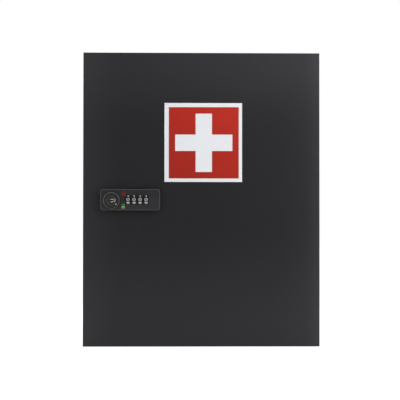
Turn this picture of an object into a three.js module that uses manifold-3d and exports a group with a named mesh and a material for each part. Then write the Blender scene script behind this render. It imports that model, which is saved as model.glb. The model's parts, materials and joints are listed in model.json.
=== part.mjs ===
// Medication lock box: a wall cabinet folded from powder coated steel sheet, with an overlay
// door on a continuous hinge and a four wheel combination cam lock.
// Millimetres, +Z up, front towards -Y, +X to the right of someone facing the door.
// The origin is on the base, under the middle of the whole object.
import * as THREE from 'three';
import { mergeVertices } from 'three/addons/utils/BufferGeometryUtils.js';
import Module from 'manifold-3d';

const wasm = await Module();
wasm.setup();

// Door, cabinet and sheet
const DOOR_WIDTH = 368.3;
const DOOR_HEIGHT = 457.2;
const DOOR_RIM_DEPTH = 18;
const DOOR_EDGE_RADIUS = 2.2;
const CLOSED_DEPTH = 139.7;
const SHEET = 1.2;
const BODY_SIDE_INSET = 1;
const DOOR_BASE_CLEARANCE = 0.6;
const FLANGE_WIDTH = 12;
const NECK_REACH = 12;
const REAR_LIP = 12;
const BACK_PANEL_INSET = 1;
const WALL_HOLE_RADIUS = 4;
const WALL_HOLE_FROM_SIDE = 42;
const WALL_HOLE_FROM_END = 50;

// Continuous hinge
const OPEN_ANGLE = THREE.MathUtils.degToRad(110);
const SWING_CLEARANCE = 0.4;
const RIM_AHEAD_OF_PIN = 0.5;
const KNUCKLE_RADIUS = 2.5;
const KNUCKLE_BORE = 1.4;
const KNUCKLE_PITCH = 25.4;
const HINGE_END_CLEARANCE = 12;
const KNUCKLE_GAP = 0.5;
const PIN_RADIUS = 1.2;
const LEAF_THICKNESS = 1;
const LEAF_WIDTH = 11;
const LEAF_RELIEF = 0.5;

// Shelves, their slotted strips and clips
const SHELF_COUNT = 2;
const SHELF_LIP = 12;
const SHELF_SIDE_CLEARANCE = 1.5;
const SHELF_FRONT_CLEARANCE = 6;
const SHELF_REAR_CLEARANCE = 3;
const STRIP_WIDTH = 16;
const STRIP_DEPTH = 4;
const STRIP_END_CLEARANCE = 24;
const STRIP_FROM_SHELF_EDGE = 22;
const SLOT_PITCH = 25;
const SLOT_HEIGHT = 3;
const SLOT_WIDTH = 8;
const CLIP_THICKNESS = 2;
const CLIP_REACH = 9;
const CLIP_HOOK_DROP = 6;
const CLIP_BRACE = 7;

// Door stiffener, bumpers and sign
const STIFFENER_WIDTH = 44;
const STIFFENER_CROWN = 22;
const STIFFENER_DEPTH = 8;
const STIFFENER_FROM_HINGE = 116;
const STIFFENER_END_CLEARANCE = 34;
const BUMPER_RADIUS = 4;
const BUMPER_FROM_END = 64;
const SIGN_WIDTH = 120.8;
const SIGN_HEIGHT = 122.9;
const SIGN_THICKNESS = 0.5;
const SIGN_RIGHT_OF_CENTRE = 2.65;
const SIGN_ABOVE_CENTRE = 88.55;
const FIELD_WIDTH = 108.75;
const FIELD_HEIGHT = 111;
const FIELD_THICKNESS = 0.3;
const FIELD_RIGHT_OF_SIGN = 0.8;
const FIELD_BELOW_SIGN = 0.5;
const CROSS_SPAN_X = 89.3;
const CROSS_SPAN_Z = 91.1;
const CROSS_ARM = 25.65;

// Lock: housing, knob, cylinder and cam
const HOUSING_WIDTH = 93.1;
const HOUSING_HEIGHT = 33.4;
const HOUSING_PROUD = 12;
const HOUSING_CORNER = 4.5;
const HOUSING_BEVEL_WIDTH = 1.7;
const HOUSING_BEVEL_DEPTH = 1.2;
const HOUSING_FROM_DOOR_EDGE = 26.75;
const HOUSING_BELOW_CENTRE = 1;
const KNOB_ALONG_HOUSING = 0.1896;
const KNOB_RADIUS = 13;
const KNOB_BELOW_HOUSING_CENTRE = 1.35;
const KNOB_PROUD = 5;
const KNOB_SEAT_DEPTH = 4;
const KNOB_RIM = 1.3;
const KNOB_RECESS = 1.6;
const KNOB_EDGE_ROUND = 0.6;
const CYLINDER_RADIUS = 7.5;
const CYLINDER_BEHIND_KNOB = 0.9;
const CYLINDER_STUD_RADIUS = 4;
const CYLINDER_STUD_LENGTH = 6.4;
const PLUG_RADIUS = 5.8;
const PLUG_LENGTH = 16;
const KEYWAY_LENGTH = 6.4;
const KEYWAY_HEIGHT = 1.3;
const KEYWAY_DEPTH = 12;
const CAM_THICKNESS = 2;
const CAM_BEHIND_FLANGE = 0.5;
const CAM_HUB_RADIUS = 9;
const CAM_ARM_WIDTH = 14;
const CAM_CATCH = 8;
const NUT_ACROSS_FLATS = 11;
const NUT_THICKNESS = 3.4;

// Lock: wheels and rear cover
const DIAL_COUNT = 4;
const FIRST_DIAL_ALONG_HOUSING = 0.4668;
const DIAL_PITCH_SHARE = 0.0993;
const DIAL_RADIUS = 9;
const DIAL_GAP = 2.5;
const DIAL_PROUD = 3.6;
const DIAL_FACES = 10;
const DIAL_GROOVE_DEPTH = 0.5;
const DIAL_GROOVE_SHARE = 0.16;
const AXLE_RADIUS = 1.25;
const AXLE_END = 2;
const HOUSING_FRONT_WALL = 2;
const COVER_INSET = 3.8;
const COVER_DEPTH = 5;
const COVER_CORNER = 3;
const COVER_REAR_WALL = 1.2;
const DETENT_THICKNESS = 0.4;
const DETENT_BASE_HEIGHT = 3.5;
const DETENT_FINGER_WIDTH = 5;
const DETENT_FINGER_RISE = 3;
const SCREW_RADIUS = 1.4;
const SCREW_LENGTH = 12;
const SCREW_HEAD_RADIUS = 2.8;
const SCREW_HEAD_THICKNESS = 1.8;

// Clearance between pieces that touch on the real object, and between those that turn
const SEAT = 0.3;
const RUN = 0.3;

// Places worked out from the sizes
const bodyWidth = DOOR_WIDTH - 2 * BODY_SIDE_INSET;
const bodyHeight = DOOR_HEIGHT + 2 * DOOR_BASE_CLEARANCE;
const midZ = bodyHeight / 2;
const backY = (CLOSED_DEPTH + HOUSING_PROUD + KNOB_PROUD) / 2;
const doorFaceY = backY - CLOSED_DEPTH;
const doorInnerY = doorFaceY + SHEET;
const pinToRimFace = KNUCKLE_RADIUS + SHEET;
const pinX = DOOR_WIDTH / 2 - pinToRimFace;
const pinY = doorFaceY + DOOR_RIM_DEPTH + RIM_AHEAD_OF_PIN;
// The shoulder lies just far enough back for the door's rim to pass it at the open angle.
const shoulderSetback = (pinToRimFace + SWING_CLEARANCE
  - (pinToRimFace - BODY_SIDE_INSET) * Math.cos(OPEN_ANGLE)) / Math.sin(OPEN_ANGLE);
const shoulderY = pinY + shoulderSetback;
const neckInset = bodyWidth / 2 - (pinX - KNUCKLE_RADIUS);
const neckFrontY = pinY - NECK_REACH;
const flangeInset = neckInset + FLANGE_WIDTH;
const backPanelY = backY - SHEET;
const knuckleCount = Math.floor((DOOR_HEIGHT - 2 * HINGE_END_CLEARANCE) / KNUCKLE_PITCH);
const hingeLength = knuckleCount * KNUCKLE_PITCH;
const hingeBaseZ = midZ - hingeLength / 2;
const sideWallX = bodyWidth / 2 - SHEET;
const stripFaceX = sideWallX - STRIP_DEPTH;
const shelfHalfWidth = stripFaceX - SHELF_SIDE_CLEARANCE;
const shelfFrontY = shoulderY + SHEET + SHELF_FRONT_CLEARANCE;
const shelfRearY = backPanelY - SHEET - SHELF_REAR_CLEARANCE;
const stripBaseZ = SHEET + STRIP_END_CLEARANCE;
const stripHeight = bodyHeight - 2 * stripBaseZ;
const slotCount = Math.floor((stripHeight - SLOT_PITCH) / SLOT_PITCH) + 1;
const firstSlotZ = midZ - ((slotCount - 1) * SLOT_PITCH) / 2;
const lockX = -DOOR_WIDTH / 2 + HOUSING_FROM_DOOR_EDGE + HOUSING_WIDTH / 2;
// The knob and the wheels keep their shares of the housing's width, counted from its knob end.
const knobX = (KNOB_ALONG_HOUSING - 0.5) * HOUSING_WIDTH;
const knobZ = -KNOB_BELOW_HOUSING_CENTRE;
const firstDialX = (FIRST_DIAL_ALONG_HOUSING - 0.5) * HOUSING_WIDTH;
const dialPitch = DIAL_PITCH_SHARE * HOUSING_WIDTH;
const dialWidth = dialPitch - DIAL_GAP;
const dialPackWidth = DIAL_COUNT * dialPitch;
const dialPackX = firstDialX - dialPitch / 2 + dialPackWidth / 2;
const dialAxisY = -HOUSING_PROUD - DIAL_PROUD + DIAL_RADIUS;
const wheelRoom = DIAL_RADIUS + 2 * RUN;
const dialRoomHalf = dialPackWidth / 2 + RUN;
const axleSlotHalf = dialRoomHalf + AXLE_END;
// One screw stands midway between the knob's seat and the axle's slot, the other midway beyond it.
const screwX = {
  inner: (knobX + KNOB_RADIUS + RUN + dialPackX - axleSlotHalf) / 2,
  outer: (dialPackX + axleSlotHalf + HOUSING_WIDTH / 2 - COVER_INSET) / 2,
};
const dialHubRadius = dialAxisY + HOUSING_PROUD - HOUSING_FRONT_WALL - RUN;
const coverBackY = SHEET + COVER_DEPTH;
const camFrontY = neckFrontY + SHEET + CAM_BEHIND_FLANGE - doorFaceY;
const camBackY = camFrontY + CAM_THICKNESS;
const camLength = lockX + knobX + bodyWidth / 2 - flangeInset + CAM_CATCH;

// Finishes
const finish = (colour, roughness, metalness) => new THREE.MeshStandardMaterial({
  color: colour, roughness, metalness,
});
const powderCoat = finish(0x2d2d2f, 0.55, 0.1);
const zincSteel = finish(0xa9abab, 0.38, 0.9);
const lockShell = finish(0x343436, 0.5, 0.1);
const lockDark = finish(0x1f1f20, 0.45, 0.15);
const plugMetal = finish(0x8f877d, 0.35, 0.9);
const blackRubber = finish(0x161616, 0.85, 0);
const whiteVinyl = finish(0xe6e7e9, 0.4, 0);
const redVinyl = finish(0xad2e28, 0.4, 0);
const springSteel = finish(0x85878a, 0.3, 0.9);

// Geometry helpers
function solid(geometry) {
  const bare = geometry.clone();
  bare.deleteAttribute('normal');
  bare.deleteAttribute('uv');
  const merged = mergeVertices(bare, 1e-4);
  return new wasm.Manifold(new wasm.Mesh({
    numProp: 3,
    vertProperties: new Float32Array(merged.attributes.position.array),
    triVerts: new Uint32Array(merged.index.array),
  }));
}

function surface(body) {
  const { vertProperties, triVerts } = body.getMesh();
  const geometry = new THREE.BufferGeometry();
  geometry.setAttribute('position', new THREE.BufferAttribute(vertProperties, 3));
  geometry.setIndex(new THREE.BufferAttribute(triVerts, 1));
  geometry.computeVertexNormals();
  return geometry;
}

function join(...geometries) {
  return surface(geometries.map(solid).reduce((sum, next) => sum.add(next)));
}

function cut(geometry, ...tools) {
  return surface(tools.map(solid).reduce((rest, tool) => rest.subtract(tool), solid(geometry)));
}

function box(x0, x1, y0, y1, z0, z1) {
  const geometry = new THREE.BoxGeometry(x1 - x0, y1 - y0, z1 - z0);
  return geometry.translate((x0 + x1) / 2, (y0 + y1) / 2, (z0 + z1) / 2);
}

// A cylinder along Y from y0 to y1, about the point x, z
function barrelY(radius, y0, y1, x = 0, z = 0, sides = 32) {
  const geometry = new THREE.CylinderGeometry(radius, radius, y1 - y0, sides);
  return geometry.translate(x, (y0 + y1) / 2, z);
}

function barrelX(radius, x0, x1, sides = 32) {
  const geometry = new THREE.CylinderGeometry(radius, radius, x1 - x0, sides);
  return geometry.rotateZ(Math.PI / 2).translate((x0 + x1) / 2, 0, 0);
}

function barrelZ(radius, z0, z1, sides = 16) {
  const geometry = new THREE.CylinderGeometry(radius, radius, z1 - z0, sides);
  return geometry.rotateX(Math.PI / 2).translate(0, 0, (z0 + z1) / 2);
}

// An outline in X and Z, made into a plate from y0 back to y1
function plate(shape, y0, y1, options = {}) {
  const geometry = new THREE.ExtrudeGeometry(shape, { depth: y1 - y0, bevelEnabled: false, ...options });
  return geometry.rotateX(Math.PI / 2).translate(0, y1, 0);
}

function rectangle(halfX, halfZ, corner = 0) {
  const shape = new THREE.Shape();
  if (corner === 0) {
    shape.moveTo(-halfX, -halfZ).lineTo(halfX, -halfZ);
    shape.lineTo(halfX, halfZ).lineTo(-halfX, halfZ).closePath();
    return shape;
  }
  shape.absarc(halfX - corner, halfZ - corner, corner, 0, Math.PI / 2);
  shape.absarc(corner - halfX, halfZ - corner, corner, Math.PI / 2, Math.PI);
  shape.absarc(corner - halfX, corner - halfZ, corner, Math.PI, 1.5 * Math.PI);
  shape.absarc(halfX - corner, corner - halfZ, corner, 1.5 * Math.PI, 2 * Math.PI);
  shape.closePath();
  return shape;
}

// A flat ring of sheet that follows the cabinet's outline between two insets
function outlineRing(outerInset, innerInset, y0, y1) {
  const shape = rectangle(bodyWidth / 2 - outerInset, bodyHeight / 2 - outerInset);
  shape.holes.push(rectangle(bodyWidth / 2 - innerInset, bodyHeight / 2 - innerInset));
  return plate(shape, y0, y1).translate(0, 0, midZ);
}

function piece(name, geometry, material, x = 0, y = 0, z = 0) {
  const mesh = new THREE.Mesh(geometry, material);
  mesh.name = name;
  mesh.position.set(x, y, z);
  return mesh;
}

// Cabinet shell: four walls, a shoulder and a neck that the door closes over, a front flange
// that the cam catches behind, and a lip at the rear for the back panel
function cabinetShell() {
  return join(
    outlineRing(0, SHEET, shoulderY, backPanelY),
    outlineRing(0, neckInset + SHEET, shoulderY, shoulderY + SHEET),
    outlineRing(neckInset, neckInset + SHEET, neckFrontY, shoulderY + SHEET),
    outlineRing(neckInset, flangeInset, neckFrontY, neckFrontY + SHEET),
    outlineRing(0, REAR_LIP, backPanelY - SHEET, backPanelY),
  );
}

function backPanel() {
  const halfX = bodyWidth / 2 - BACK_PANEL_INSET;
  const halfZ = bodyHeight / 2 - BACK_PANEL_INSET;
  const shape = rectangle(halfX, halfZ);
  for (const side of [-1, 1]) {
    for (const end of [-1, 1]) {
      const hole = new THREE.Path();
      const x = side * (bodyWidth / 2 - WALL_HOLE_FROM_SIDE);
      const z = end * (bodyHeight / 2 - WALL_HOLE_FROM_END);
      hole.absarc(x, z, WALL_HOLE_RADIUS, 0, 2 * Math.PI);
      shape.holes.push(hole);
    }
  }
  return plate(shape, 0, SHEET, { curveSegments: 8 });
}

// Slotted strip, local to the wall it is welded to: X is the depth into the cabinet
function shelfStrip() {
  const halfWidth = STRIP_WIDTH / 2;
  const channel = box(0, STRIP_DEPTH, -halfWidth, halfWidth, 0, stripHeight);
  const inner = halfWidth - SHEET;
  const cuts = [box(-1, STRIP_DEPTH - SHEET, -inner, inner, -1, stripHeight + 1)];
  for (let i = 0; i < slotCount; i += 1) {
    const z = firstSlotZ - stripBaseZ + i * SLOT_PITCH;
    const halfSlot = SLOT_WIDTH / 2;
    cuts.push(box(0, STRIP_DEPTH + 1, -halfSlot, halfSlot, z - SLOT_HEIGHT / 2, z + SLOT_HEIGHT / 2));
  }
  return cut(channel, ...cuts);
}

// Shelf clip, local to the centre of its slot on the strip's face, reaching towards +X
function shelfClip() {
  const half = CLIP_THICKNESS / 2;
  const hookBack = -SHEET - SEAT - CLIP_THICKNESS / 2;
  const shape = new THREE.Shape();
  shape.moveTo(hookBack, half);
  shape.lineTo(CLIP_REACH, half);
  shape.lineTo(CLIP_REACH, -half);
  shape.lineTo(CLIP_THICKNESS + SEAT, -half - CLIP_BRACE);
  shape.lineTo(SEAT, -half - CLIP_BRACE);
  shape.lineTo(SEAT, -half);
  shape.lineTo(-SHEET - SEAT, -half);
  shape.lineTo(-SHEET - SEAT, -half - CLIP_HOOK_DROP);
  shape.lineTo(hookBack, -half - CLIP_HOOK_DROP);
  shape.closePath();
  return plate(shape, -SLOT_WIDTH / 2 + SEAT, SLOT_WIDTH / 2 - SEAT);
}

function shelf() {
  const depth = shelfRearY - shelfFrontY;
  return join(
    box(-shelfHalfWidth, shelfHalfWidth, 0, depth, -SHEET, 0),
    box(-shelfHalfWidth, shelfHalfWidth, 0, SHEET, -SHELF_LIP, 0),
    box(-shelfHalfWidth, shelfHalfWidth, depth - SHEET, depth, -SHELF_LIP, 0),
  );
}

// One leaf of the hinge, local to the pin's foot, with every second knuckle
function hingeLeaf(side, firstKnuckle) {
  const x0 = side * (KNUCKLE_RADIUS - LEAF_THICKNESS);
  const x1 = side * KNUCKLE_RADIUS;
  const [low, high] = [Math.min(x0, x1), Math.max(x0, x1)];
  const parts = [box(low, high, -LEAF_WIDTH, -KNUCKLE_RADIUS - LEAF_RELIEF, 0, hingeLength)];
  for (let i = firstKnuckle; i < knuckleCount; i += 2) {
    const z0 = i * KNUCKLE_PITCH + KNUCKLE_GAP / 2;
    const z1 = (i + 1) * KNUCKLE_PITCH - KNUCKLE_GAP / 2;
    parts.push(box(low, high, -LEAF_WIDTH, 0, z0, z1));
    parts.push(barrelZ(KNUCKLE_RADIUS, z0, z1));
  }
  return cut(join(...parts), barrelZ(KNUCKLE_BORE, -1, hingeLength + 1));
}

// Door: a pan with softly folded front edges and openings for the lock
function doorPanel() {
  const block = (inset, y0, radius) => {
    const shape = rectangle(DOOR_WIDTH / 2 - inset, DOOR_HEIGHT / 2 - inset);
    return plate(shape, y0 + radius, DOOR_RIM_DEPTH + 2 * radius, {
      bevelEnabled: true,
      bevelThickness: radius,
      bevelSize: radius,
      bevelOffset: -radius,
      bevelSegments: 4,
    });
  };
  const behind = box(-DOOR_WIDTH, DOOR_WIDTH, DOOR_RIM_DEPTH, 2 * DOOR_RIM_DEPTH, -DOOR_HEIGHT, DOOR_HEIGHT);
  const pan = cut(
    block(0, 0, DOOR_EDGE_RADIUS),
    block(SHEET, SHEET, DOOR_EDGE_RADIUS - SHEET),
    behind,
  );
  const lockZ = -HOUSING_BELOW_CENTRE;
  const hole = (radius, x, z = 0) => barrelY(radius, -1, 2 * SHEET, lockX + x, lockZ + z, 24);
  const wheelsX = lockX + dialPackX;
  return cut(
    pan,
    hole(CYLINDER_RADIUS + RUN, knobX, knobZ),
    ...Object.values(screwX).map((x) => hole(SCREW_RADIUS + RUN, x)),
    box(wheelsX - axleSlotHalf, wheelsX + axleSlotHalf, -1, 2 * SHEET, lockZ - wheelRoom, lockZ + wheelRoom),
  );
}

// Hat section welded down the inside of the door, local to the door's inner face
function doorStiffener() {
  const halfZ = DOOR_HEIGHT / 2 - STIFFENER_END_CLEARANCE;
  const halfWidth = STIFFENER_WIDTH / 2;
  const halfCrown = STIFFENER_CROWN / 2;
  return join(
    box(-halfWidth, -halfCrown, 0, SHEET, -halfZ, halfZ),
    box(halfCrown, halfWidth, 0, SHEET, -halfZ, halfZ),
    box(-halfCrown - SHEET, -halfCrown, 0, STIFFENER_DEPTH, -halfZ, halfZ),
    box(halfCrown, halfCrown + SHEET, 0, STIFFENER_DEPTH, -halfZ, halfZ),
    box(-halfCrown - SHEET, halfCrown + SHEET, STIFFENER_DEPTH - SHEET, STIFFENER_DEPTH, -halfZ, halfZ),
  );
}

function crossOutline() {
  const halfX = CROSS_SPAN_X / 2;
  const halfZ = CROSS_SPAN_Z / 2;
  const halfArm = CROSS_ARM / 2;
  const quarter = [[halfX, halfArm], [halfArm, halfArm], [halfArm, halfZ]];
  const points = [];
  for (const [sx, sz, order] of [[1, 1, 1], [-1, 1, -1], [-1, -1, 1], [1, -1, -1]]) {
    const corner = order === 1 ? quarter : [...quarter].reverse();
    points.push(...corner.map(([x, z]) => new THREE.Vector2(sx * x, sz * z)));
  }
  return new THREE.Path(points);
}

function signField() {
  const shape = rectangle(FIELD_WIDTH / 2, FIELD_HEIGHT / 2);
  shape.holes.push(crossOutline());
  return plate(shape, -SIGN_THICKNESS - FIELD_THICKNESS, -SIGN_THICKNESS);
}

// Lock pieces are local to the housing's middle, on the door's face
function lockHousing() {
  const shape = rectangle(HOUSING_WIDTH / 2, HOUSING_HEIGHT / 2, HOUSING_CORNER);
  const block = plate(shape, -HOUSING_PROUD + HOUSING_BEVEL_DEPTH, HOUSING_BEVEL_DEPTH, {
    bevelEnabled: true,
    bevelThickness: HOUSING_BEVEL_DEPTH,
    bevelSize: HOUSING_BEVEL_WIDTH,
    bevelOffset: -HOUSING_BEVEL_WIDTH,
    bevelSegments: 2,
    curveSegments: 5,
  });
  const left = dialPackX - dialRoomHalf;
  const right = dialPackX + dialRoomHalf;
  const slotHalf = AXLE_RADIUS + RUN;
  const cuts = [
    box(-HOUSING_WIDTH, HOUSING_WIDTH, 0, HOUSING_PROUD, -HOUSING_HEIGHT, HOUSING_HEIGHT),
    barrelY(KNOB_RADIUS + RUN, -HOUSING_PROUD - 1, -HOUSING_PROUD + KNOB_SEAT_DEPTH, knobX, knobZ, 48),
    barrelY(CYLINDER_RADIUS + RUN, -HOUSING_PROUD - 1, 1, knobX, knobZ),
    box(left, right, -HOUSING_PROUD + HOUSING_FRONT_WALL, 1, -wheelRoom, wheelRoom),
    box(left - AXLE_END, right + AXLE_END, dialAxisY - slotHalf, 1, -slotHalf, slotHalf),
  ];
  for (let i = 0; i < DIAL_COUNT; i += 1) {
    const x = firstDialX + i * dialPitch;
    const halfWidth = dialWidth / 2 + RUN;
    cuts.push(barrelX(DIAL_RADIUS + RUN, x - halfWidth, x + halfWidth, 40).translate(0, dialAxisY, 0));
  }
  for (const x of Object.values(screwX)) {
    cuts.push(barrelY(SCREW_RADIUS + RUN, coverBackY - SCREW_LENGTH, 1, x, 0, 16));
  }
  return cut(block, ...cuts);
}

// Rear cover: closes the wheels in from behind the door and clamps the lock to the sheet
function lockCover() {
  const shape = rectangle(HOUSING_WIDTH / 2 - COVER_INSET, HOUSING_HEIGHT / 2 - COVER_INSET, COVER_CORNER);
  const left = dialPackX - dialRoomHalf;
  const right = dialPackX + dialRoomHalf;
  const hollowEnd = coverBackY - COVER_REAR_WALL;
  const cover = cut(
    plate(shape, SHEET, coverBackY, { curveSegments: 4 }),
    box(left, right, 0, hollowEnd, -wheelRoom, wheelRoom),
    barrelY(CYLINDER_RADIUS + RUN, 0, coverBackY + 1, knobX, knobZ),
    ...Object.values(screwX).map((x) => barrelY(SCREW_RADIUS + RUN, 0, coverBackY + 1, x, 0, 16)),
  );
  const postFrontY = dialAxisY + AXLE_RADIUS + SEAT;
  const post = (x0, x1) => box(x0, x1, postFrontY, hollowEnd, -AXLE_RADIUS, AXLE_RADIUS);
  return join(
    cover,
    post(left - AXLE_END + SEAT, left),
    post(right, right + AXLE_END - SEAT),
  );
}

function lockScrew() {
  const headY = coverBackY + SEAT;
  return join(
    barrelY(SCREW_RADIUS, headY - SCREW_LENGTH, headY + 0.1, 0, 0, 16),
    barrelY(SCREW_HEAD_RADIUS, headY, headY + SCREW_HEAD_THICKNESS, 0, 0, 24),
  );
}

function detentSpring() {
  const frontY = dialAxisY + DIAL_RADIUS + RUN;
  const rearY = coverBackY - COVER_REAR_WALL - SEAT;
  const footZ = -wheelRoom + SEAT;
  const halfWidth = dialPackWidth / 2 - SEAT;
  const parts = [
    box(dialPackX - halfWidth, dialPackX + halfWidth, frontY, rearY, footZ, footZ + DETENT_BASE_HEIGHT),
  ];
  for (let i = 0; i < DIAL_COUNT; i += 1) {
    const x = firstDialX + i * dialPitch;
    const half = DETENT_FINGER_WIDTH / 2;
    parts.push(box(x - half, x + half, frontY, frontY + DETENT_THICKNESS, footZ, DETENT_FINGER_RISE));
  }
  return join(...parts);
}

// Knob: a shallow cup with a raised rim, turned about Y, seated in the housing
function knob() {
  const front = HOUSING_PROUD + KNOB_PROUD;
  const rear = HOUSING_PROUD - KNOB_SEAT_DEPTH + SEAT;
  const bore = CYLINDER_RADIUS + SEAT;
  const rimInner = KNOB_RADIUS - KNOB_RIM;
  const profile = [
    [bore, rear],
    [KNOB_RADIUS, rear],
    [KNOB_RADIUS, front - KNOB_EDGE_ROUND],
    [KNOB_RADIUS - KNOB_EDGE_ROUND, front],
    [rimInner, front],
    [rimInner, front - KNOB_RECESS],
    [bore, front - KNOB_RECESS],
    [bore, rear],
  ];
  const points = profile.map(([radius, height]) => new THREE.Vector2(radius, height));
  return new THREE.LatheGeometry(points, 48).rotateX(Math.PI);
}

// Cylinder: carries the key plug in front and the cam's stud behind
function lockCylinder() {
  const front = -HOUSING_PROUD - KNOB_PROUD + CYLINDER_BEHIND_KNOB;
  const shoulder = camFrontY - SEAT;
  const stud = shoulder + CYLINDER_STUD_LENGTH;
  return cut(
    join(
      barrelY(CYLINDER_RADIUS, front, shoulder),
      barrelY(CYLINDER_STUD_RADIUS, shoulder - 1, stud, 0, 0, 24),
    ),
    barrelY(PLUG_RADIUS + RUN, front - 1, front + PLUG_LENGTH + SEAT),
  );
}

function keyPlug() {
  const front = -HOUSING_PROUD - KNOB_PROUD + CYLINDER_BEHIND_KNOB;
  const halfLength = KEYWAY_LENGTH / 2;
  const halfHeight = KEYWAY_HEIGHT / 2;
  return cut(
    barrelY(PLUG_RADIUS, front, front + PLUG_LENGTH),
    box(-halfLength, halfLength, front - 1, front + KEYWAY_DEPTH, -halfHeight, halfHeight),
  );
}

// Cam: a flat lever pointing up while the lock is open, with a round hole for the stud
function cam() {
  const hub = new THREE.Shape();
  hub.absarc(0, 0, CAM_HUB_RADIUS, 0, 2 * Math.PI);
  const halfArm = CAM_ARM_WIDTH / 2;
  const arm = new THREE.Shape();
  arm.moveTo(-halfArm, 0).lineTo(halfArm, 0);
  arm.lineTo(halfArm, camLength - halfArm);
  arm.absarc(0, camLength - halfArm, halfArm, 0, Math.PI);
  arm.closePath();
  return cut(
    join(
      plate(hub, camFrontY, camBackY, { curveSegments: 24 }),
      plate(arm, camFrontY, camBackY, { curveSegments: 8 }),
    ),
    barrelY(CYLINDER_STUD_RADIUS + SEAT, camFrontY - 1, camBackY + 1, 0, 0, 24),
  );
}

function camNut() {
  const y0 = camBackY + SEAT;
  const corner = NUT_ACROSS_FLATS / 2 / Math.cos(Math.PI / 6);
  return cut(
    barrelY(corner, y0, y0 + NUT_THICKNESS, 0, 0, 6),
    barrelY(CYLINDER_STUD_RADIUS + SEAT, y0 - 1, y0 + NUT_THICKNESS + 1, 0, 0, 24),
  );
}

// Number wheel: ten flat faces with a groove between each two, on a hub, turning about X
function dialWheel() {
  const step = (2 * Math.PI) / DIAL_FACES;
  const grooveHalf = (step * DIAL_GROOVE_SHARE) / 2;
  const valley = DIAL_RADIUS * Math.cos(step / 2) - DIAL_GROOVE_DEPTH;
  const crest = DIAL_RADIUS * Math.cos(grooveHalf);
  const outline = [];
  for (let i = 0; i < DIAL_FACES; i += 1) {
    const middle = (i + 0.5) * step - Math.PI / 2;
    for (const [angle, radius] of [[-grooveHalf, crest], [0, valley], [grooveHalf, crest]]) {
      const turn = middle + angle;
      outline.push(new THREE.Vector2(radius * Math.cos(turn), radius * Math.sin(turn)));
    }
  }
  const shape = new THREE.Shape(outline);
  const wheel = new THREE.ExtrudeGeometry(shape, { depth: dialWidth, bevelEnabled: false });
  wheel.translate(0, 0, -dialWidth / 2).rotateY(Math.PI / 2);
  const halfHub = (dialPitch - RUN) / 2;
  return cut(
    join(wheel, barrelX(dialHubRadius, -halfHub, halfHub, 20)),
    barrelX(AXLE_RADIUS + RUN, -dialPitch, dialPitch, 16),
  );
}

// The whole object
const lockBox = new THREE.Group();

const cabinet = new THREE.Group();
lockBox.add(cabinet);
cabinet.add(piece('cabinet_shell', cabinetShell(), powderCoat));
cabinet.add(piece('back_panel', backPanel(), powderCoat, 0, backPanelY, midZ));

const shelfDepth = shelfRearY - shelfFrontY;
const stripRows = {
  front: shelfFrontY + STRIP_FROM_SHELF_EDGE,
  rear: shelfFrontY + shelfDepth - STRIP_FROM_SHELF_EDGE,
};
for (const [row, y] of Object.entries(stripRows)) {
  const left = piece(`shelf_strip_left_${row}`, shelfStrip(), powderCoat, -sideWallX, y, stripBaseZ);
  const right = piece(`shelf_strip_right_${row}`, shelfStrip(), powderCoat, sideWallX, y, stripBaseZ);
  right.rotation.z = Math.PI;
  cabinet.add(left, right);
}

for (let i = 0; i < SHELF_COUNT; i += 1) {
  const name = i === 0 ? 'lower' : 'upper';
  const wanted = (bodyHeight * (i + 1)) / (SHELF_COUNT + 1);
  const slot = Math.round((wanted - firstSlotZ) / SLOT_PITCH);
  const clipZ = firstSlotZ + slot * SLOT_PITCH - (SLOT_HEIGHT - CLIP_THICKNESS) / 2 + SEAT;
  const shelfTopZ = clipZ + CLIP_THICKNESS / 2 + SEAT + SHEET;
  cabinet.add(piece(`shelf_${name}`, shelf(), powderCoat, 0, shelfFrontY, shelfTopZ));
  for (const [row, y] of Object.entries(stripRows)) {
    const left = piece(`shelf_clip_${name}_left_${row}`, shelfClip(), zincSteel, -stripFaceX, y, clipZ);
    const right = piece(`shelf_clip_${name}_right_${row}`, shelfClip(), zincSteel, stripFaceX, y, clipZ);
    right.rotation.z = Math.PI;
    cabinet.add(left, right);
  }
}

const bumperGap = neckFrontY - doorInnerY;
const bumperX = bodyWidth / 2 - neckInset - FLANGE_WIDTH / 2;
for (const [sideName, side] of [['left', -1], ['right', 1]]) {
  for (const [endName, end] of [['lower', -1], ['upper', 1]]) {
    const shape = barrelY(BUMPER_RADIUS, -bumperGap + SEAT, 0, 0, 0, 24);
    const z = midZ + end * (bodyHeight / 2 - BUMPER_FROM_END);
    const name = `door_bumper_${sideName}_${endName}`;
    cabinet.add(piece(name, shape, blackRubber, side * bumperX, neckFrontY, z));
  }
}

cabinet.add(piece('hinge_leaf_cabinet', hingeLeaf(-1, 0), powderCoat, pinX, pinY, hingeBaseZ));
cabinet.add(piece('hinge_pin', barrelZ(PIN_RADIUS, 0, hingeLength), zincSteel, pinX, pinY, hingeBaseZ));

const door = new THREE.Group();
lockBox.add(door);
door.add(piece('door_panel', doorPanel(), powderCoat, 0, doorFaceY, midZ));
door.add(piece('door_stiffener', doorStiffener(), powderCoat, pinX - STIFFENER_FROM_HINGE, doorInnerY, midZ));
door.add(piece('hinge_leaf_door', hingeLeaf(1, 1), powderCoat, pinX, pinY, hingeBaseZ));

const sign = new THREE.Group();
sign.position.set(SIGN_RIGHT_OF_CENTRE, doorFaceY, midZ + SIGN_ABOVE_CENTRE);
const signShape = rectangle(SIGN_WIDTH / 2, SIGN_HEIGHT / 2);
sign.add(piece('sign_base', plate(signShape, -SIGN_THICKNESS, 0), whiteVinyl));
sign.add(piece('sign_red_field', signField(), redVinyl, FIELD_RIGHT_OF_SIGN, 0, -FIELD_BELOW_SIGN));
door.add(sign);

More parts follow.
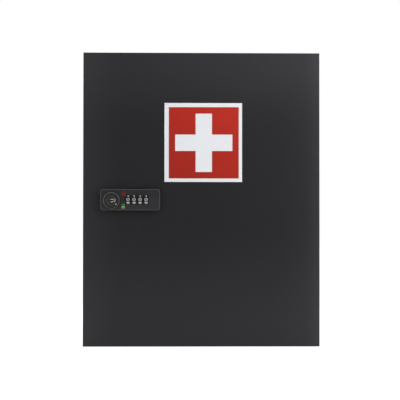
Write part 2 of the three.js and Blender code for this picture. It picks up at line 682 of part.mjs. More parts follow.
const lock = new THREE.Group();
lock.position.set(lockX, doorFaceY, midZ - HOUSING_BELOW_CENTRE);
lock.add(piece('lock_housing', lockHousing(), lockShell));
lock.add(piece('lock_rear_cover', lockCover(), lockShell));
for (const [name, x] of Object.entries(screwX)) {
  lock.add(piece(`lock_screw_${name}`, lockScrew(), zincSteel, x));
}
lock.add(piece('detent_spring', detentSpring(), springSteel));
const halfAxle = dialPackWidth / 2 + AXLE_END;
lock.add(piece('dial_axle', barrelX(AXLE_RADIUS, -halfAxle, halfAxle, 16), zincSteel, dialPackX, dialAxisY));
for (let i = 0; i < DIAL_COUNT; i += 1) {
  const x = firstDialX + i * dialPitch;
  lock.add(piece(`dial_wheel_${i + 1}`, dialWheel(), lockDark, x, dialAxisY));
}
door.add(lock);

const turning = new THREE.Group();
turning.position.set(knobX, 0, knobZ);
turning.add(piece('knob', knob(), lockDark));
turning.add(piece('lock_cylinder', lockCylinder(), lockDark));
turning.add(piece('key_plug', keyPlug(), plugMetal));
turning.add(piece('cam', cam(), zincSteel));
turning.add(piece('cam_nut', camNut(), zincSteel));
lock.add(turning);

export default lockBox;
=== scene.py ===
"""Looks of the medication lock box: finishes, soft folds, printed marks, stage, light and camera.

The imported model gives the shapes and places. Lengths here are in millimetres until they meet
Blender, which works in metres. The front looks towards -Y and +Z is up.
"""

import json
import math

import bmesh
import bpy
from mathutils import Matrix, Vector


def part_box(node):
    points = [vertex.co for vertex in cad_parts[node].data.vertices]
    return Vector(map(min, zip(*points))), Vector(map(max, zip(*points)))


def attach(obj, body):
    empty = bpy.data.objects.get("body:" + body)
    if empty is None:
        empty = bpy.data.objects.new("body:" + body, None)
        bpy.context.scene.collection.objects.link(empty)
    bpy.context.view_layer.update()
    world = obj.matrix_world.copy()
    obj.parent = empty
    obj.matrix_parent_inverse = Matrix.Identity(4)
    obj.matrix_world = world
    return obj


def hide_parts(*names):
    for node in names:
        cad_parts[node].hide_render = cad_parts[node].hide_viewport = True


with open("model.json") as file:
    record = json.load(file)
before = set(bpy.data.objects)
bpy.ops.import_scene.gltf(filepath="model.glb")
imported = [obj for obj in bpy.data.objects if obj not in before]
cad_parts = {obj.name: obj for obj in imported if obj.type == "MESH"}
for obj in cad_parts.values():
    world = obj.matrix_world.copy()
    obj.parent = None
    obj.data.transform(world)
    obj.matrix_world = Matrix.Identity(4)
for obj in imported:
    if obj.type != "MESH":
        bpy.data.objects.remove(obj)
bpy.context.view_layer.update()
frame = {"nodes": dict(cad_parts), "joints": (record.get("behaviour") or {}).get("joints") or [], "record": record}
NODES = frame["nodes"]
JOINTS = {joint["name"]: joint for joint in frame["joints"]}
BODY_OF = {
    node: body
    for body, members in frame["record"]["behaviour"]["bodies"].items()
    for node in members
}
SLOT_OF = {part["node"]: part["material_slot"] for part in frame["record"]["subparts"]}
MM = 0.001
X, Z = 0, 2


def corners_mm(node):
    low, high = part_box(node)
    return low / MM, high / MM


# Places that the pieces and their wear are worked out from
KNOB_X, _, KNOB_Z = (place / MM for place in JOINTS["knob_turn"]["pos_m"])
DOOR_LOW, DOOR_HIGH = corners_mm("door_panel")
LOCK_LOW, LOCK_HIGH = corners_mm("lock_housing")
LOCK_FACE = LOCK_LOW.y
LOCK_Z = (LOCK_LOW.z + LOCK_HIGH.z) / 2
FIELD_LOW, FIELD_HIGH = corners_mm("sign_red_field")

# Camera, worked out from how the photograph foreshortens the door
CAMERA_DISTANCE = 2500
CAMERA_AZIMUTH = -1.5
CAMERA_ELEVATION = -1.4
CAMERA_ROLL = 0.035
FRAME_WIDTH = 622.1
DOOR_RIGHT_OF_FRAME = 2.4
DOOR_ABOVE_FRAME = 1.0
SENSOR = 36

# Floor and light. The floor reaches 30 metres each way, and lamps are a place in metres and watts.
FLOOR_REACH = 30
FLOOR_BELOW = 0.3
FLOOR_MATT = 0.8
FLOOR_GLOW = 0.85
AMBIENT = 0.35
LAMP_SIZE = 0.5
LAMP_AIM = (0, 0, 0.23)
LAMPS = {
    "upper_right": ((0.35, -0.74, 0.8), 2.9),
    "top_right": ((0.4, -0.1, 1.2), 1.1),
    "right": ((0.96, -0.26, 0.28), 1.6),
    "low_right": ((0.69, -0.69, 0.28), 2.4),
    "low_left": ((-0.57, -0.81, 0.28), 1.5),
    "rear_left": ((-0.9, 1.1, 0.8), 3),
    "rear_right": ((0.9, 1.1, 0.8), 2.4),
}

# Vertices closer than this, in metres, are one
SAME_PLACE = 1e-6

# Angles, in degrees, past which an edge is sharp and below which faces are one flat
SHARP_ANGLE = 32
FLAT_ANGLE = 0.5

# How far edges are rounded
SHEET_EDGE = 0.35
SMALL_EDGE = 0.3
COVER_EDGE = 0.5
WHEEL_EDGE = 0.22

# Printed and moulded detail of the lock
KNOB_RIM = 1.3
KNOB_RECESS = 1.7
KNOB_ROUND = 0.25
# How deep the knob rim's painted highlight reaches
KNOB_HIGHLIGHT_DEPTH = 0.45
BORE_CLEARANCE = 0.3
CYLINDER_LIP_WIDTH = 0.85
CYLINDER_LIP_HEIGHT = 0.25
PLUG_BOSS_WIDTH = 8.4
PLUG_BOSS_HEIGHT = 6
PLUG_DISH = 0.9
PLUG_LIP = 0.8
KEYWAY_MOUTH = 1.1
KEYWAY_WIDTH = 6.2
KEYWAY_HEIGHT = 1.3
KEYWAY_DEPTH = 4
PLUG_SIDES = 72
PLUG_BOSS_SUNK = 0.35
# The cosine at which a slot's straight sides go over into its round ends
ROUND_END_FROM = 0.35
# Where the boss gets its lighter finish, as a direction and how far to each side, the rest of it left darker
# as painted shade, and where the lip gets a painted highlight, all in degrees round the plug
BOSS_LIT_SECTOR = (-40, 110)
LIP_HIGHLIGHT_SECTORS = [(34, 142), (-74, -40)]
POINTER_FROM_AXIS = 9.2
POINTER_ANGLE = -38.6
POINTER_RADIUS = 0.95
DIGIT_WIDTH = 5.3
DIGIT_HEIGHT = 4.1
DIGIT_RISE = 0.3
DIGIT_BOLD = (0.1, 0.36)
DIGIT_SQUARENESS = 0.22
# The one, in shares of half a numeral's width and height
NUMERAL_ONE = [(-0.08, -1), (0.34, -1), (0.34, 1), (0.0, 1), (-0.42, 0.6), (-0.42, 0.16), (-0.08, 0.44)]
INK_THICKNESS = 0.06
WHEELS = 4
DIGITS = 10
DIGIT_SUNK = 0.01
# The cosine past which a face lies on the flat that a direction goes through
ON_ONE_FLAT = 0.96
MARK_FROM_HOUSING_EDGE = 36
MARK_CORNER = 0.5
MARK_SUNK = 0.1
MARK_OVERLAP = 0.05
SHACKLE_STEPS = 12
MARK_BODY_WIDTH = 5
SHACKLE_WIDTH = 3.7
SHACKLE_BAND = 0.7
OPEN_MARK = {"right": 0.5, "foot": 6.2, "height": 5, "rise": 2.7, "swing": 1.3}
CLOSED_MARK = {"right": 0, "foot": -13.5, "height": 3.9, "rise": 3.3, "swing": 0}


def linear(red, green, blue):
    """The linear colour of an sRGB one given in steps of 255."""
    def one(step):
        value = step / 255
        return value / 12.92 if value <= 0.04045 else ((value + 0.055) / 1.055) ** 2.4
    return one(red), one(green), one(blue), 1.0


# Materials


class Finish:
    """A material around one Principled shader, with the patterns that these surfaces share."""

    # Sockets of a mix node that take and give colours
    MIX_COLOUR_INPUTS = (0, 6, 7)
    MIX_COLOUR_OUTPUT = 2
    # Cosines between the softened and the real normal where an edge begins and where it is full
    EDGE_COSINES = (0.995, 0.86)
    EDGE_SAMPLES = 6
    # What most of a noise pattern lies between
    NOISE_REACH = (0.3, 0.7)

    def __init__(self, name, roughness, metallic=0.0, specular=0.5):
        self.material = bpy.data.materials.new(name)
        self.material.use_nodes = True
        self.tree = self.material.node_tree
        self.shader = self.tree.nodes["Principled BSDF"]
        self.shader.inputs["Roughness"].default_value = roughness
        self.shader.inputs["Metallic"].default_value = metallic
        self.shader.inputs["Specular IOR Level"].default_value = specular
        self.place = self.node("ShaderNodeTexCoord").outputs["Object"]

    def feed(self, socket, value):
        """Links an input to another node's output, or sets it to a constant."""
        if isinstance(value, bpy.types.NodeSocket):
            self.tree.links.new(value, socket)
        else:
            socket.default_value = value

    def node(self, kind, **inputs):
        made = self.tree.nodes.new(kind)
        for key, value in inputs.items():
            self.feed(made.inputs[key.replace("_", " ")], value)
        return made

    def noise(self, size, detail=2.0, stretch=(1, 1, 1)):
        """Noise whose grain is about size millimetres across."""
        place = self.node("ShaderNodeMapping", Vector=self.place, Scale=stretch).outputs["Vector"]
        made = self.node("ShaderNodeTexNoise", Vector=place, Scale=1 / (size * MM), Detail=detail)
        return made.outputs["Fac"]

    def span(self, source, low, high, to_low=0.0, to_high=1.0, soft=False):
        made = self.node("ShaderNodeMapRange", Value=source, From_Min=low, From_Max=high,
                         To_Min=to_low, To_Max=to_high)
        if soft:
            made.interpolation_type = "SMOOTHSTEP"
        return made.outputs["Result"]

    def maths(self, operation, one, other):
        made = self.node("ShaderNodeMath")
        made.operation = operation
        self.feed(made.inputs[0], one)
        self.feed(made.inputs[1], other)
        return made.outputs[0]

    def blend(self, factor, one, other):
        made = self.node("ShaderNodeMix")
        made.data_type = "RGBA"
        for place, value in zip(self.MIX_COLOUR_INPUTS, (factor, one, other)):
            self.feed(made.inputs[place], value)
        return made.outputs[self.MIX_COLOUR_OUTPUT]

    def edges(self, width):
        """1 on edges sharper than width millimetres, broken up by a grain, and 0 on flats."""
        round_off = self.node("ShaderNodeBevel", Radius=width * MM)
        round_off.samples = self.EDGE_SAMPLES
        dot = self.node("ShaderNodeVectorMath")
        dot.operation = "DOT_PRODUCT"
        self.feed(dot.inputs[0], round_off.outputs["Normal"])
        self.feed(dot.inputs[1], self.node("ShaderNodeNewGeometry").outputs["Normal"])
        sharp = self.span(dot.outputs["Value"], *self.EDGE_COSINES)
        return self.maths("MULTIPLY", sharp, self.span(self.noise(5, 3), 0.42, 0.62))

    def framed(self, colour, painted_light_ramps):
        """The colour made lighter or darker towards a panel's sides, as painted light and shade.

        Each ramp is an axis, where it starts and ends in millimetres, and what it adds to
        a gain of 1 from its end on.
        """
        place = self.node("ShaderNodeSeparateXYZ", Vector=self.place).outputs
        gain = 1.0
        for axis, start, end, more in painted_light_ramps:
            ramp = self.span(place[axis], start * MM, end * MM, 0, more, soft=True)
            gain = self.maths("ADD", gain, ramp)
        made = self.node("ShaderNodeVectorMath")
        made.operation = "SCALE"
        self.feed(made.inputs[0], colour)
        self.feed(made.inputs["Scale"], gain)
        return made.outputs["Vector"]

    def dress(self, colour, patches, smooth, rough, skin, depth, strength):
        """Feeds the shader a colour, a roughness that follows patches and a skin depth millimetres high."""
        self.feed(self.shader.inputs["Base Color"], colour)
        uneven = self.span(patches, *self.NOISE_REACH, smooth, rough)
        self.feed(self.shader.inputs["Roughness"], uneven)
        bump = self.node("ShaderNodeBump", Height=skin, Distance=depth * MM, Strength=strength)
        self.feed(self.shader.inputs["Normal"], bump.outputs["Normal"])
        return self.material


def paler(colour, gain, lift=0.0):
    return tuple(min(1, gain * part + lift) for part in colour[:3]) + (1.0,)


def powder_coat(name, colour, worn_and_painted_light, painted_light_ramps=None):
    """Fine-textured powder coat on steel: a pebbled skin, a slight cloudiness and rubbed edges."""
    made = Finish(name, 0.5, specular=0.135)
    pebbles = made.noise(0.55, 3)
    cloud = made.noise(90, 2)
    lighter = paler(colour, 1.35)
    speckled = made.blend(made.span(pebbles, 0.35, 0.75), colour, lighter)
    coat = made.blend(made.span(cloud, 0.3, 0.8, 0, 0.35), speckled, lighter)
    if painted_light_ramps:
        coat = made.framed(coat, painted_light_ramps)
    rubbed_and_painted_light = made.blend(made.maths("MULTIPLY", made.edges(0.9), 0.5), coat, worn_and_painted_light)
    return made.dress(rubbed_and_painted_light, cloud, 0.46, 0.54, pebbles, 0.05, 0.55)


def painted_casting(name, colour, worn_and_painted_light, painted_light_ramps=None):
    """Smooth satin paint on a die casting, polished on its edges by hands, the lighter edges partly a painted
    highlight.
    """
    made = Finish(name, 0.42, specular=0.18)
    skin = made.noise(0.9, 3)
    smears = made.noise(14, 3, (1, 1, 2.2))
    paint = made.blend(made.span(smears, 0.35, 0.75, 0, 0.4), colour, paler(colour, 1.2))
    if painted_light_ramps:
        paint = made.framed(paint, painted_light_ramps)
    rubbed_and_painted_light = made.blend(made.maths("MULTIPLY", made.edges(0.5), 0.55), paint, worn_and_painted_light)
    return made.dress(rubbed_and_painted_light, smears, 0.36, 0.5, skin, 0.02, 0.4)


def moulded_plastic(name, colour, roughness, painted_light_ramps=None):
    """Dark moulded plastic with a fine spark-eroded grain."""
    made = Finish(name, roughness, specular=0.2)
    grain = made.noise(0.28, 2)
    dust = made.noise(9, 3)
    dusty = made.blend(made.span(dust, 0.4, 0.8, 0, 0.5), colour, paler(colour, 1.7, 0.004))
    if painted_light_ramps:
        dusty = made.framed(dusty, painted_light_ramps)
    return made.dress(dusty, dust, roughness - 0.05, roughness + 0.07, grain, 0.015, 0.5)


def plated_metal(name, colour, stained, roughness, grain_size, stretch=(1, 1, 1), rubbed_and_painted_light=None):
    """Plated or bare metal with fine turning or rolling lines and dull patches.

    Where the last argument is given, it goes over into a lighter colour between two places along X, a painted
    highlight.
    """
    made = Finish(name, roughness, metallic=1.0)
    lines = made.noise(grain_size, 3, stretch)
    patches = made.noise(6, 4)
    plate = made.blend(made.span(patches, 0.4, 0.75), colour, stained)
    # A lighter colour between two places along X: a painted highlight
    if rubbed_and_painted_light:
        start, end, highlight_colour = rubbed_and_painted_light
        across = made.node("ShaderNodeSeparateXYZ", Vector=made.place).outputs["X"]
        share = made.span(across, start * MM, end * MM, soft=True)
        uneven = made.span(patches, 0.25, 0.6, 0.5, 1)
        plate = made.blend(made.maths("MULTIPLY", share, uneven), plate, highlight_colour)
    return made.dress(plate, lines, roughness - 0.08, roughness + 0.12, lines, 0.012, 0.5)


def vinyl(name, colour, shade, painted_light_ramps=None):
    """Printed self-adhesive vinyl: satin, faintly pebbled by the paint beneath it."""
    made = Finish(name, 0.42, specular=0.18)
    beneath = made.noise(0.8, 2)
    patches = made.noise(45, 2)
    film = made.blend(made.span(patches, 0.3, 0.75, 0, 0.6), colour, shade)
    if painted_light_ramps:
        film = made.framed(film, painted_light_ramps)
    return made.dress(film, patches, 0.38, 0.48, beneath, 0.02, 0.35)


def soft_rubber(name, colour):
    """Matt rubber with a pale bloom."""
    made = Finish(name, 0.85, specular=0.25)
    bloom = made.noise(2.5, 4)
    bloomed = made.blend(made.span(bloom, 0.4, 0.7, 0, 0.6), colour, paler(colour, 2.2))
    return made.dress(bloomed, bloom, 0.78, 0.92, made.noise(0.2, 2), 0.02, 0.5)


def ink(name, colour, thin):
    """Pad-printed ink, a little thin in places."""
    made = Finish(name, 0.5, specular=0.15)
    cover = made.noise(0.35, 3)
    printed = made.blend(made.span(cover, 0.35, 0.6), thin, colour)
    return made.dress(printed, cover, 0.45, 0.58, cover, 0.008, 0.5)


# Painted light and shade, as ramps that make a finish lighter or darker towards its sides; the door's ramps are a
# painted sheen, lighter towards every edge
DOOR_PAINTED_SHEEN = [
    (X, DOOR_LOW.x + 65, DOOR_LOW.x - 10, 1.05),
    (X, DOOR_HIGH.x - 75, DOOR_HIGH.x, 0.45),
    (X, DOOR_HIGH.x - 26, DOOR_HIGH.x, 1.0),
    (Z, DOOR_LOW.z + 200, DOOR_LOW.z, 1.5),
    (Z, DOOR_HIGH.z - 125, DOOR_HIGH.z, 1.35),
]
# The lock's face made lighter towards its bottom: painted light
LOCK_PAINTED_LIGHT = [(Z, LOCK_HIGH.z, LOCK_LOW.z, 0.9)]
# The red field made darker towards its bottom and lighter towards its right: painted shade and light
FIELD_PAINTED_SHADING = [(Z, FIELD_HIGH.z, FIELD_LOW.z, -0.18), (X, FIELD_LOW.x, FIELD_HIGH.x, 0.12)]
# The knob rim's painted highlight made darker towards its bottom: painted shade
KNOB_RIM_PAINTED_SHADE = [(Z, KNOB_Z + 4, KNOB_Z - 12, -0.4)]

# Painted highlights on the plug, as places along X and the lighter colour that the metal goes over into between
# them
RIM_PAINTED_HIGHLIGHT = (KNOB_X + 4.4, KNOB_X + 5.3, linear(184, 176, 166))
BOSS_PAINTED_HIGHLIGHT = (KNOB_X - 3.5, KNOB_X + 0.5, linear(116, 110, 102))
LIP_PAINTED_HIGHLIGHT = (KNOB_X - 2.5, KNOB_X - 0.8, linear(200, 192, 182))

COAT, COAT_WORN = linear(20, 20, 22), linear(70, 70, 72)
CASTING, CASTING_WORN = linear(21, 21, 23), linear(72, 72, 74)
# The plug's nickel is given dark, a painted shade standing in for the dark surroundings that the metal would
# reflect
NICKEL_PAINTED_SHADE, NICKEL_STAINED_PAINTED_SHADE = linear(56, 52, 48), linear(38, 35, 32)
ZINC, ZINC_STAINED = linear(168, 171, 172), linear(128, 131, 134)
SPRING, SPRING_STAINED = linear(150, 150, 152), linear(110, 108, 104)
WHITE_FILM, WHITE_SHADE = linear(226, 228, 231), linear(221, 223, 227)
RED_FILM, RED_SHADE = linear(168, 34, 20), linear(160, 32, 18)
MATERIALS = {
    "powder_coat": powder_coat("powder_coat", COAT, COAT_WORN),
    "lock_shell": painted_casting("painted_casting", CASTING, CASTING_WORN, LOCK_PAINTED_LIGHT),
    "lock_dark": moulded_plastic("moulded_black", linear(20, 20, 21), 0.42),
    "plug_metal": plated_metal("plug_nickel_painted_shade", NICKEL_PAINTED_SHADE, NICKEL_STAINED_PAINTED_SHADE, 0.4, 0.35, rubbed_and_painted_light=RIM_PAINTED_HIGHLIGHT),
    "zinc_steel": plated_metal("zinc_plate", ZINC, ZINC_STAINED, 0.34, 0.5, (1, 1, 6)),
    "spring_steel": plated_metal("spring_steel", SPRING, SPRING_STAINED, 0.28, 0.4, (6, 1, 1)),
    "rubber": soft_rubber("bumper_rubber", linear(20, 20, 20)),
    "white_vinyl": vinyl("white_vinyl", WHITE_FILM, WHITE_SHADE),
    "red_vinyl": vinyl("red_vinyl", RED_FILM, RED_SHADE, FIELD_PAINTED_SHADING),
}

# Second finishes of the same slots, on faces shaped otherwise or carrying painted light: a painted sheen on the
# door, painted highlights on the plug, on the lock's sloping faces and on the rims, and the inks, two of them
# dimmed as painted shade
DOOR_COAT_PAINTED_SHEEN = powder_coat("door_powder_coat_painted_sheen", COAT, COAT_WORN, DOOR_PAINTED_SHEEN)
# Lighter nickel for the plug's boss and keyway mouth: painted highlights
PLUG_BOSS_PAINTED_HIGHLIGHT = plated_metal(
    "plug_boss_nickel_painted_highlight", linear(66, 62, 57), linear(50, 47, 43), 0.34, 0.35, rubbed_and_painted_light=BOSS_PAINTED_HIGHLIGHT)
PLUG_MOUTH_PAINTED_HIGHLIGHT = plated_metal(
    "plug_mouth_nickel_painted_highlight", linear(80, 76, 71), linear(62, 59, 55), 0.3, 0.35, rubbed_and_painted_light=LIP_PAINTED_HIGHLIGHT)
SHELL_PAINTED_HIGHLIGHT = painted_casting("painted_casting_painted_highlight", linear(54, 54, 57), linear(80, 80, 82))
CYLINDER_LIP_PAINTED_HIGHLIGHT = moulded_plastic("moulded_black_lip_painted_highlight", linear(74, 74, 77), 0.34)
KNOB_RIM_PAINTED_HIGHLIGHT = moulded_plastic("moulded_black_rim_painted_highlight", linear(80, 80, 83), 0.34, KNOB_RIM_PAINTED_SHADE)
INKS = {
    "white": ink("white_ink", linear(208, 208, 210), linear(150, 150, 152)),
    # Dimmer inks for the zero and the one: painted shade
    "rubbed_and_painted_light": ink("zero_painted_shade_ink", linear(172, 172, 174), linear(122, 122, 124)),
    "worn_and_painted_light": ink("one_painted_shade_ink", linear(182, 182, 184), linear(128, 128, 130)),
    "red": ink("red_ink", linear(120, 14, 16), linear(96, 12, 14)),
    "green": ink("green_ink", linear(118, 158, 90), linear(86, 120, 64)),
}


# Building pieces


def settle(bm, name, material, body, sharp_angle=SHARP_ANGLE):
    """Makes bm, in metres, a piece with its faces out and its edges sharp past an angle."""
    bmesh.ops.recalc_face_normals(bm, faces=bm.faces)
    for face in bm.faces:
        face.smooth = True
    for edge in bm.edges:
        edge.smooth = edge.calc_face_angle(0) < math.radians(sharp_angle)
    mesh = bpy.data.meshes.new(name)
    bm.to_mesh(mesh)
    bm.free()
    mesh.materials.append(material)
    piece = bpy.data.objects.new(name, mesh)
    bpy.context.scene.collection.objects.link(piece)
    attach(piece, body)
    return piece


def round_edges(piece, width, segments=3, angle=SHARP_ANGLE):
    bevel = piece.modifiers.new("Rounded", "BEVEL")
    bevel.width = width * MM
    bevel.segments = segments
    bevel.limit_method = "ANGLE"
    bevel.angle_limit = math.radians(angle)
    bevel.harden_normals = True
    bevel.miter_outer = "MITER_ARC"
    return piece


def formed(node, width, segments=3, angle=SHARP_ANGLE):
    """A copy of a CAD node with its flats merged and its sharp edges rounded, in its place."""
    bm = bmesh.new()
    bm.from_mesh(NODES[node].data)
    bmesh.ops.remove_doubles(bm, verts=bm.verts, dist=SAME_PLACE)
    bmesh.ops.dissolve_limit(bm, angle_limit=math.radians(FLAT_ANGLE), verts=bm.verts, edges=bm.edges)
    slot = SLOT_OF[node]
    piece = settle(bm, node + "_formed", MATERIALS[slot], BODY_OF[node], angle)
    round_edges(piece, width, segments, angle)
    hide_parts(node)
    return piece


def ring_of(outline, y, bm):
    """Vertices of an outline of (x, z) points, in millimetres, at one y."""
    return [bm.verts.new((x * MM, y * MM, z * MM)) for x, z in outline]


def skin(bm, rings):
    """Joins rings of as many points each with quads."""
    for one, other in zip(rings, rings[1:]):
        for i in range(len(one)):
            j = (i + 1) % len(one)
            bm.faces.new((one[i], one[j], other[j], other[i]))
    return bm


def disc(centre, radius, steps=24):
    turns = (2 * math.pi * i / steps for i in range(steps))
    return [(centre[0] + radius * math.cos(t), centre[1] + radius * math.sin(t)) for t in turns]


def lathe(profile, centre, segments=96):
    """A bmesh turned about the Y line through centre. Profile points are (radius, y), in millimetres."""
    bm = bmesh.new()
    rings = [ring_of(disc(centre, radius, segments), y, bm) for radius, y in profile]
    return skin(bm, rings)


def prism(outline, y_front, y_back, bm=None):
    """Adds a plate with an outline of (x, z) points, in millimetres, to a bmesh."""
    bm = bm or bmesh.new()
    front, back = (ring_of(outline, y, bm) for y in (y_front, y_back))
    bm.faces.new(front)
    bm.faces.new(back[::-1])
    return skin(bm, [back, front])


def rounded_rectangle(width, height, corner, centre=(0, 0), steps=5):
    points = []
    for k, (sx, sz) in enumerate(((1, 1), (-1, 1), (-1, -1), (1, -1))):
        cx = centre[0] + sx * (width / 2 - corner)
        cz = centre[1] + sz * (height / 2 - corner)
        for i in range(steps + 1):
            turn = math.pi / 2 * (k + i / steps)
            points.append((cx + corner * math.cos(turn), cz + corner * math.sin(turn)))
    return points


def second_material(piece, material, chosen):
    """Gives a piece's faces that chosen(face) picks a second material of the same slot."""
    piece.data.materials.append(material)
    for face in piece.data.polygons:
        if chosen(face):
            face.material_index = len(piece.data.materials) - 1


# Sheet metal and small hardware: the CAD shapes with their folds and edges rounded

for node in NODES:
    if SLOT_OF[node] == "powder_coat" and not node.startswith("hinge"):
        formed(node, SHEET_EDGE, 2)
    elif node.startswith(("shelf_clip", "cam", "lock_screw", "door_bumper")):
        formed(node, SMALL_EDGE, 2)
    else:
        NODES[node].data.materials.clear()
        NODES[node].data.materials.append(MATERIALS[SLOT_OF[node]])

NODES["door_panel"].data.materials[0] = DOOR_COAT_PAINTED_SHEEN
bpy.data.objects["door_panel_formed"].data.materials[0] = DOOR_COAT_PAINTED_SHEEN

# Lock casing, with a painted highlight: a lighter paint on the faces round its front that slope
SLOPING = (0.2, 0.985)
housing = formed("lock_housing", SMALL_EDGE, 2, 20)
second_material(housing, SHELL_PAINTED_HIGHLIGHT, lambda face: SLOPING[0] < -face.normal.y < SLOPING[1])
formed("lock_rear_cover", COVER_EDGE)


def knob():
    """A shallow cup with a rounded rim and a recess round the cylinder, and its pointer dot."""
    low, high = corners_mm("knob")
    cylinder_low, cylinder_high = corners_mm("lock_cylinder")
    bore = (cylinder_high.x - cylinder_low.x) / 2 + BORE_CLEARANCE
    radius = (high.x - low.x) / 2
    inner = radius - KNOB_RIM
    floor_y = low.y + KNOB_RECESS
    profile = [
        (bore, high.y), (radius - 0.3, high.y), (radius, high.y - 0.3),
        (radius, low.y + 0.6), (radius - 0.12, low.y + 0.25), (radius - 0.4, low.y),
        (inner + 0.35, low.y), (inner + 0.1, low.y + 0.12), (inner, low.y + 0.4),
        (inner, floor_y - KNOB_ROUND), (inner - KNOB_ROUND, floor_y),
        (bore + KNOB_ROUND, floor_y), (bore, floor_y + KNOB_ROUND), (bore, high.y),
    ]
    bm = lathe(profile, (KNOB_X, KNOB_Z), 120)
    bmesh.ops.remove_doubles(bm, verts=bm.verts, dist=SAME_PLACE)
    piece = settle(bm, "knob_turned", MATERIALS["lock_dark"], "lock_knob", 40)
    # The rim's front gets a lighter finish: a painted highlight
    second_material(piece, KNOB_RIM_PAINTED_HIGHLIGHT, lambda face: face.center.y < (low.y + KNOB_HIGHLIGHT_DEPTH) * MM)
    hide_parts("knob")
    turn = math.radians(POINTER_ANGLE)
    centre = (KNOB_X + POINTER_FROM_AXIS * math.cos(turn), KNOB_Z + POINTER_FROM_AXIS * math.sin(turn))
    bm = prism(disc(centre, POINTER_RADIUS), floor_y - INK_THICKNESS * 2, floor_y + 0.2)
    settle(bm, "knob_pointer", INKS["white"], "lock_knob")


def cylinder():
    """The cylinder, with a raised lip round its mouth."""
    formed("lock_cylinder", SMALL_EDGE, 2)
    low, high = corners_mm("lock_cylinder")
    radius = (high.x - low.x) / 2
    inner = radius - CYLINDER_LIP_WIDTH
    top = low.y - CYLINDER_LIP_HEIGHT
    profile = [
        (radius - 0.02, low.y + 0.1), (radius - 0.05, low.y - 0.1), (radius - 0.2, top),
        (inner + 0.25, top), (inner + 0.05, low.y - 0.1), (inner, low.y + 0.1),
    ]
    bm = lathe(profile, (KNOB_X, KNOB_Z), 96)
    # The lip's lighter finish is a painted highlight
    settle(bm, "cylinder_lip", CYLINDER_LIP_PAINTED_HIGHLIGHT, "lock_knob", 50)


def stadium(width, height, turns):
    """Points of a slot with round ends, one in each of the given directions."""
    reach = (width - height) / 2
    points = []
    for turn in turns:
        along = math.cos(turn)
        slide = max(-1, min(1, along / ROUND_END_FROM))
        x = slide * reach + height / 2 * along
        points.append((KNOB_X + x, KNOB_Z + height / 2 * math.sin(turn)))
    return points


def plug():
    """The key plug: a dished face, a long flat boss in its middle and the keyway with a sloping mouth."""
    low, high = corners_mm("key_plug")
    radius = (high.x - low.x) / 2
    face_y, boss_y = low.y, low.y + PLUG_BOSS_SUNK
    turns = [2 * math.pi * i / PLUG_SIDES for i in range(PLUG_SIDES)]

    def circle(smaller):
        return disc((KNOB_X, KNOB_Z), radius - smaller, PLUG_SIDES)

    def boss(larger):
        return stadium(PLUG_BOSS_WIDTH + larger, PLUG_BOSS_HEIGHT + larger, turns)

    def mouth(larger):
        return stadium(KEYWAY_WIDTH + larger, KEYWAY_HEIGHT + KEYWAY_MOUTH + larger, turns)

    keyway = stadium(KEYWAY_WIDTH - 0.3, KEYWAY_HEIGHT, turns)
    # Outline, place along Y, and the look of the ring of faces from there to the next outline
    steps = [
        (circle(0), high.y, "plain"),
        (circle(0), face_y + 0.3, "plain"),
        (circle(0.1), face_y + 0.08, "plain"),
        (circle(0.35), face_y, "plain"),
        (circle(0.6), face_y + 0.12, "plain"),
        (circle(0.95), face_y + PLUG_DISH * 0.8, "plain"),
        (boss(0.5), face_y + PLUG_DISH, "plain"),
        (boss(0), boss_y + 0.15, "boss"),
        (boss(-0.3), boss_y, "boss"),
        (mouth(2 * PLUG_LIP), boss_y, "lip"),
        (mouth(0.3), boss_y - 0.12, "painted_shade"),
        (mouth(0), boss_y, "painted_shade"),
        (keyway, boss_y + 0.45, "painted_shade"),
        (keyway, face_y + KEYWAY_DEPTH, "painted_shade"),
    ]
    bm = bmesh.new()
    rings = [ring_of(outline, y, bm) for outline, y, _ in steps]
    bm.faces.new(rings[0])
    skin(bm, rings)
    bm.faces.new(rings[-1])
    piece = settle(bm, "key_plug_turned", MATERIALS["plug_metal"], "key_barrel", 40)

    # The plug's rear is its first face, and the rings of quads follow it in order.
    looks = ["plain"] + [look for _, _, look in steps for _ in turns]

    def towards(face):
        return math.degrees(math.atan2(face.center.z / MM - KNOB_Z, face.center.x / MM - KNOB_X))

    def on_boss(face):
        return looks[face.index] in ("boss", "lip") and abs(towards(face) - BOSS_LIT_SECTOR[0]) < BOSS_LIT_SECTOR[1]

    def on_bright_lip(face):
        return looks[face.index] == "lip" and any(start < towards(face) < end for start, end in LIP_HIGHLIGHT_SECTORS)

    # Lighter nickel on one sector of the boss and on sectors of the lip as painted highlights; the rest stays
    # darker as painted shade
    second_material(piece, PLUG_BOSS_PAINTED_HIGHLIGHT, on_boss)
    second_material(piece, PLUG_MOUTH_PAINTED_HIGHLIGHT, on_bright_lip)
    # The keyway and the inside of its mouth are given black plastic: painted shade
    second_material(piece, MATERIALS["lock_dark"], lambda face: looks[face.index] == "painted_shade")
    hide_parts("key_plug")


def embolden(bm, wide, tall):
    """Moves the outline of a flat bmesh outwards, by wide in X and tall in Y."""
    moves = {v: Vector((0, 0)) for v in bm.verts}
    for edge in bm.edges:
        if len(edge.link_faces) != 1:
            continue
        one, other = edge.verts
        along = (other.co - one.co).xy
        out = Vector((along.y, -along.x)).normalized()
        inside = edge.link_faces[0].calc_center_median() - one.co
        if out.dot(inside.xy) > 0:
            out = -out
        moves[one] += out
        moves[other] += out
    for v, move in moves.items():
        if move.length:
            move = move.normalized()
            v.co.x += move.x * wide
            v.co.y += move.y * tall


